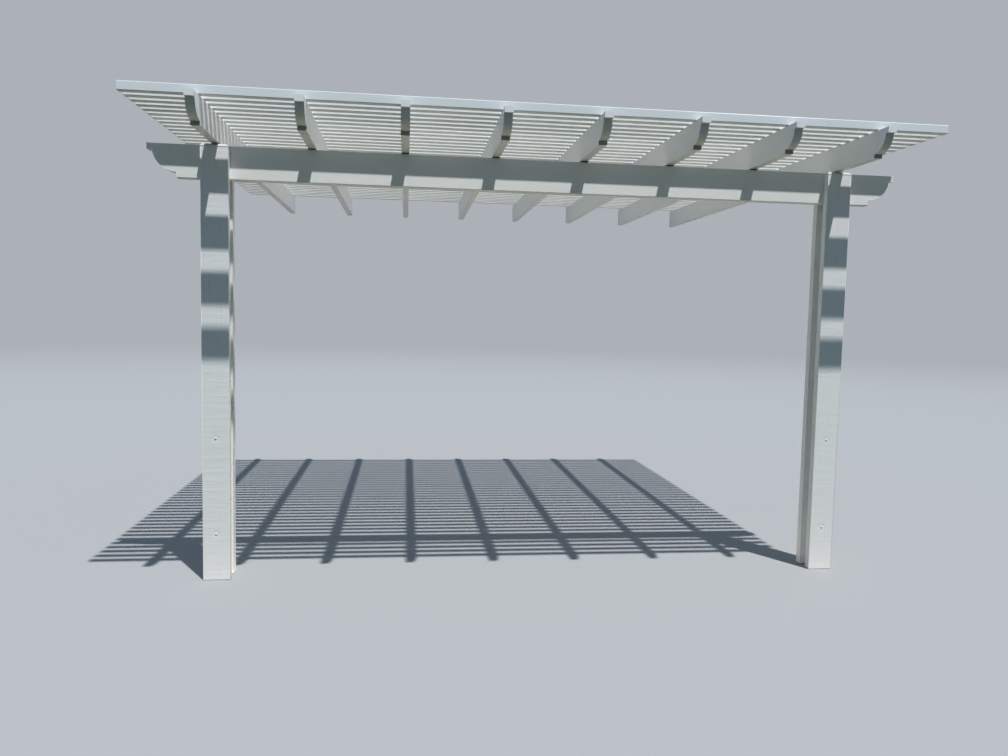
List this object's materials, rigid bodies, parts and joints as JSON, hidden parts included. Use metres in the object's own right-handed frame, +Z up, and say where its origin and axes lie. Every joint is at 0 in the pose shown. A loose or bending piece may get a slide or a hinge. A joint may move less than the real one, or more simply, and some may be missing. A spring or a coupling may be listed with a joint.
{
  "type": "wall attached lattice pergola",
  "caption": "Wall-attached open lattice pergola: sandwich posts, a beam and corbel-cut rafters carry a deck of square tubes.",
  "frame": {"origin": "middle of the left post's foot, at ground level", "axes": "+X along the wall to the right post, +Y from the garden towards the wall, +Z up"},
  "size_m": [4.884, 4.011, 2.9341],
  "materials": {
    "frame_paint": "off-white embossed wood-grain paint, satin",
    "lattice_paint": "off-white embossed wood-grain paint, satin",
    "cap_paint": "off-white smooth paint, satin",
    "bracket_metal": "mill aluminium"
  },
  "bodies": {
    "root": {"left_post_core": "frame_paint", "left_post_front_plate": "frame_paint", "left_post_rear_plate": "frame_paint", "left_post_plate_caps": "cap_paint", "left_post_shoe": "bracket_metal", "right_post_core": "frame_paint", "right_post_front_plate": "frame_paint", "right_post_rear_plate": "frame_paint", "right_post_plate_caps": "cap_paint", "right_post_shoe": "bracket_metal", "beam": "frame_paint", "beam_end_cap_left": "cap_paint", "beam_end_cap_right": "cap_paint", "rafter_1": "frame_paint", "rafter_2": "frame_paint", "rafter_3": "frame_paint", "rafter_4": "frame_paint", "rafter_5": "frame_paint", "rafter_6": "frame_paint", "rafter_7": "frame_paint", "rafter_8": "frame_paint", "rafter_end_cap_1": "cap_paint", "rafter_end_cap_2": "cap_paint", "rafter_end_cap_3": "cap_paint", "rafter_end_cap_4": "cap_paint", "rafter_end_cap_5": "cap_paint", "rafter_end_cap_6": "cap_paint", "rafter_end_cap_7": "cap_paint", "rafter_end_cap_8": "cap_paint", "rafter_saddles": "bracket_metal", "wall_hangers": "bracket_metal", "lattice_front_tube": "lattice_paint", "lattice_tubes_1": "lattice_paint", "lattice_tubes_2": "lattice_paint", "lattice_tubes_3": "lattice_paint", "lattice_tubes_4": "lattice_paint", "lattice_tubes_5": "lattice_paint", "lattice_tubes_6": "lattice_paint", "lattice_plugs_left": "cap_paint", "lattice_plugs_right": "cap_paint"}
  },
  "joints": []
}
